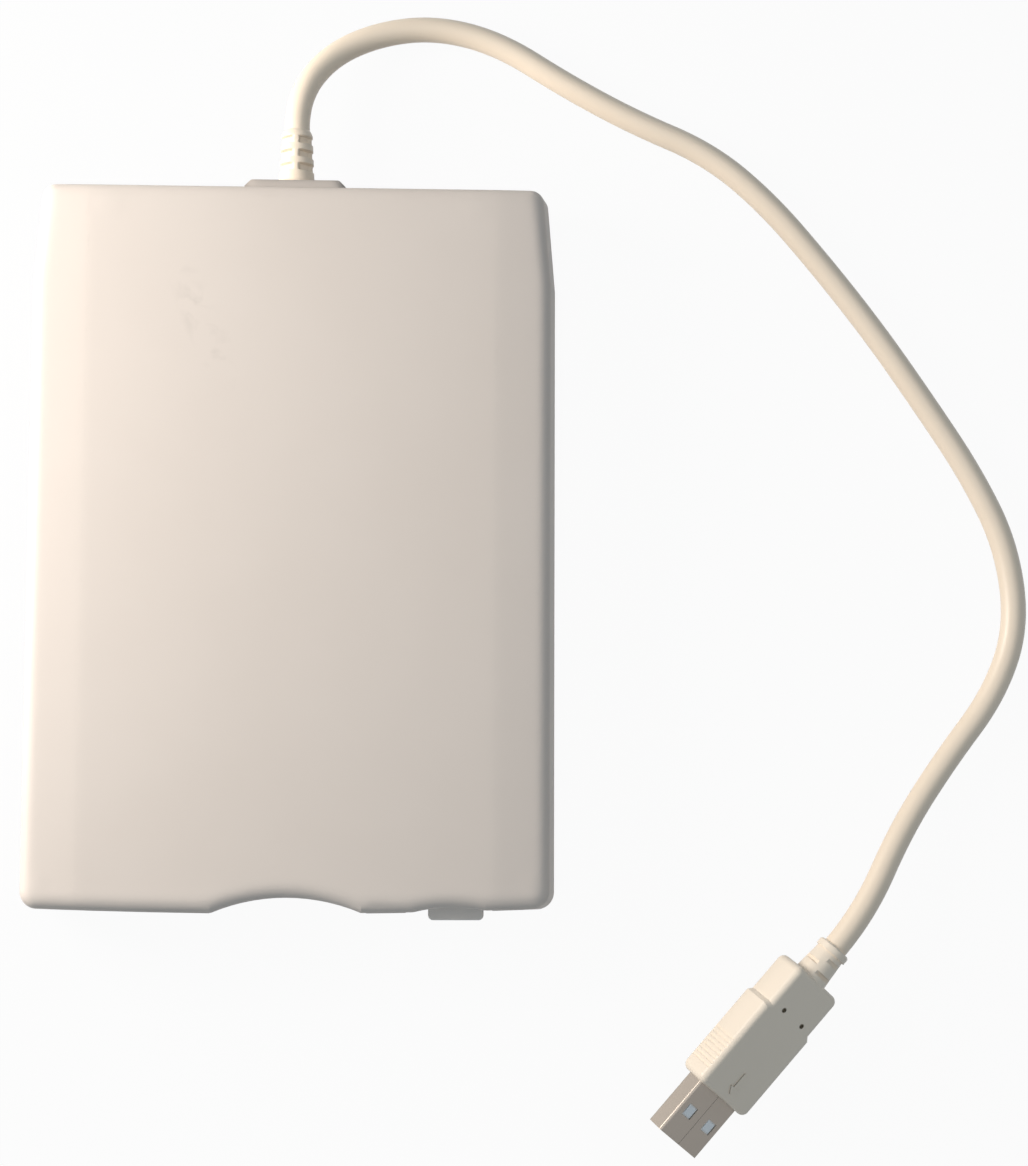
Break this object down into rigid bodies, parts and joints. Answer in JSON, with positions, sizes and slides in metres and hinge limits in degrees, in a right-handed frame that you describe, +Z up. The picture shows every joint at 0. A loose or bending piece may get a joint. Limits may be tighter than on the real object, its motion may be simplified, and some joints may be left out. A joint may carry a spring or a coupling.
{
  "type": "external floppy disk drive",
  "caption": "Flat external floppy disk drive: tapered rounded case, sprung slot flap, eject button, inner loading and head mechanism, fixed cord with flat rectangular plug.",
  "frame": {"origin": "centre of the case's outline, on the surface the drive stands on", "axes": "+Z up, -Y towards the disk slot at the front, +X towards the right as seen from above with the front towards the viewer"},
  "size_m": [0.2004, 0.2298, 0.018],
  "materials": {
    "case_plastic": "fine satin texture, warm light grey",
    "base_plastic": "fine satin texture, warm light grey",
    "flap_plastic": "satin",
    "button_plastic": "satin",
    "clear_plastic": "translucent light pipe",
    "foot_rubber": "matt",
    "screw_steel": "zinc plated",
    "sheet_steel": "galvanised sheet",
    "spring_steel": "bright wire",
    "bronze": "sintered",
    "magnet": "bonded ferrite",
    "board": "green solder mask",
    "chip": "moulded epoxy",
    "copper": "enamelled winding",
    "moulding": "glass filled, black",
    "ceramic": "polished slider",
    "header": "nylon, white",
    "cord_pvc": "warm ivory, slightly soft",
    "plug_steel": "nickel plated sheet",
    "tongue": "white",
    "gold": "gold plated",
    "lamp_plastic": "tinted clear"
  },
  "bodies": {
    "base": {"top_case": "case_plastic", "bottom_case": "base_plastic", "rubber_feet": "foot_rubber", "case_screws": "screw_steel", "frame_screws": "screw_steel", "led_lens": "clear_plastic", "mechanism_frame": "sheet_steel", "mechanism_cover": "sheet_steel", "slide_springs": "spring_steel", "motor_board": "board", "spindle_bearing": "bronze", "stator_core": "sheet_steel", "stator_coils": "copper", "guide_rod": "screw_steel", "rod_clips": "moulding", "screw_bracket": "sheet_steel", "stepper_motor": "sheet_steel", "main_board": "board", "cord_board": "board", "controller_chip": "chip", "interface_chip": "chip", "crystal": "screw_steel", "cord_header": "header", "sensor_board": "board", "lamp": "lamp_plastic", "disk_sensors": "moulding", "track_sensor": "moulding", "strain_relief": "cord_pvc", "usb_cord": "cord_pvc", "plug_overmould": "cord_pvc", "plug_shell": "plug_steel", "plug_tongue": "tongue", "plug_contacts": "gold"},
    "flap": {"slot_flap": "flap_plastic"},
    "eject": {"slide_plate": "sheet_steel", "eject_button": "button_plastic"},
    "carrier": {"disk_carrier": "sheet_steel", "carrier_pins": "screw_steel", "latch_rivet": "screw_steel"},
    "latch": {"shutter_latch": "sheet_steel"},
    "spindle": {"spindle_shaft": "screw_steel", "rotor_cup": "sheet_steel", "rotor_magnet": "magnet", "chucking_plate": "magnet", "drive_pin": "screw_steel"},
    "carriage": {"head_carriage": "moulding", "lower_head": "ceramic", "arm_pin": "screw_steel"},
    "head_arm": {"upper_head_arm": "moulding", "upper_head": "ceramic"},
    "screw": {"lead_screw": "screw_steel"},
    "protect_switch": {"protect_plunger": "header"},
    "density_switch": {"density_plunger": "header"},
    "disk_in_switch": {"disk_in_plunger": "header"}
  },
  "joints": [
    {"name": "flap_swing", "type": "hinge", "parent": "base", "child": "flap", "pos_m": [0, -0.066, 0.0151], "axis": [1, 0, 0], "range_deg": [0, 82], "stiffness_Nm_per_rad": 0.0004, "springref_deg": -11.46},
    {"name": "eject_slide", "type": "slide", "parent": "base", "child": "eject", "axis": [0, -1, 0], "range_m": [0, 0.0045], "deforming": ["slide_springs"]},
    {"name": "carrier_lift", "type": "slide", "parent": "base", "child": "carrier", "axis": [0, 0, -1], "range_m": [0, 0.0023]},
    {"name": "latch_turn", "type": "hinge", "parent": "carrier", "child": "latch", "pos_m": [-0.027, 0.008, 0.01455], "axis": [0, 0, 1], "range_deg": [0, 30]},
    {"name": "spindle_spin", "type": "hinge", "parent": "base", "child": "spindle", "pos_m": [0, -0.0118, 0.006], "axis": [0, 0, 1], "continuous": true},
    {"name": "head_travel", "type": "slide", "parent": "base", "child": "carriage", "axis": [0, -1, 0], "range_m": [0, 0.0148]},
    {"name": "arm_load", "type": "hinge", "parent": "carriage", "child": "head_arm", "pos_m": [0, 0.0524, 0.0136], "axis": [1, 0, 0], "range_deg": [0, 9.2]},
    {"name": "screw_turn", "type": "hinge", "parent": "base", "child": "screw", "pos_m": [0.013, 0.044, 0.0086], "axis": [0, 1, 0], "range_deg": [0, 1421]},
    {"name": "protect_press", "type": "slide", "parent": "base", "child": "protect_switch", "axis": [0, 0, -1], "range_m": [0, 0.0008], "stiffness_N_per_m": 60, "springref_m": -0.0003},
    {"name": "density_press", "type": "slide", "parent": "base", "child": "density_switch", "axis": [0, 0, -1], "range_m": [0, 0.0008], "stiffness_N_per_m": 60, "springref_m": -0.0003},
    {"name": "disk_in_press", "type": "slide", "parent": "base", "child": "disk_in_switch", "axis": [0, 0, -1], "range_m": [0, 0.0008], "stiffness_N_per_m": 60, "springref_m": -0.0003}
  ],
  "couplings": [
    {"joint": "carrier_lift", "follows": "eject_slide", "ratio": 0.51111},
    {"joint": "arm_load", "follows": "eject_slide", "rad_per_m": 35.682},
    {"joint": "screw_turn", "follows": "head_travel", "rad_per_m": 1675.8}
  ]
}
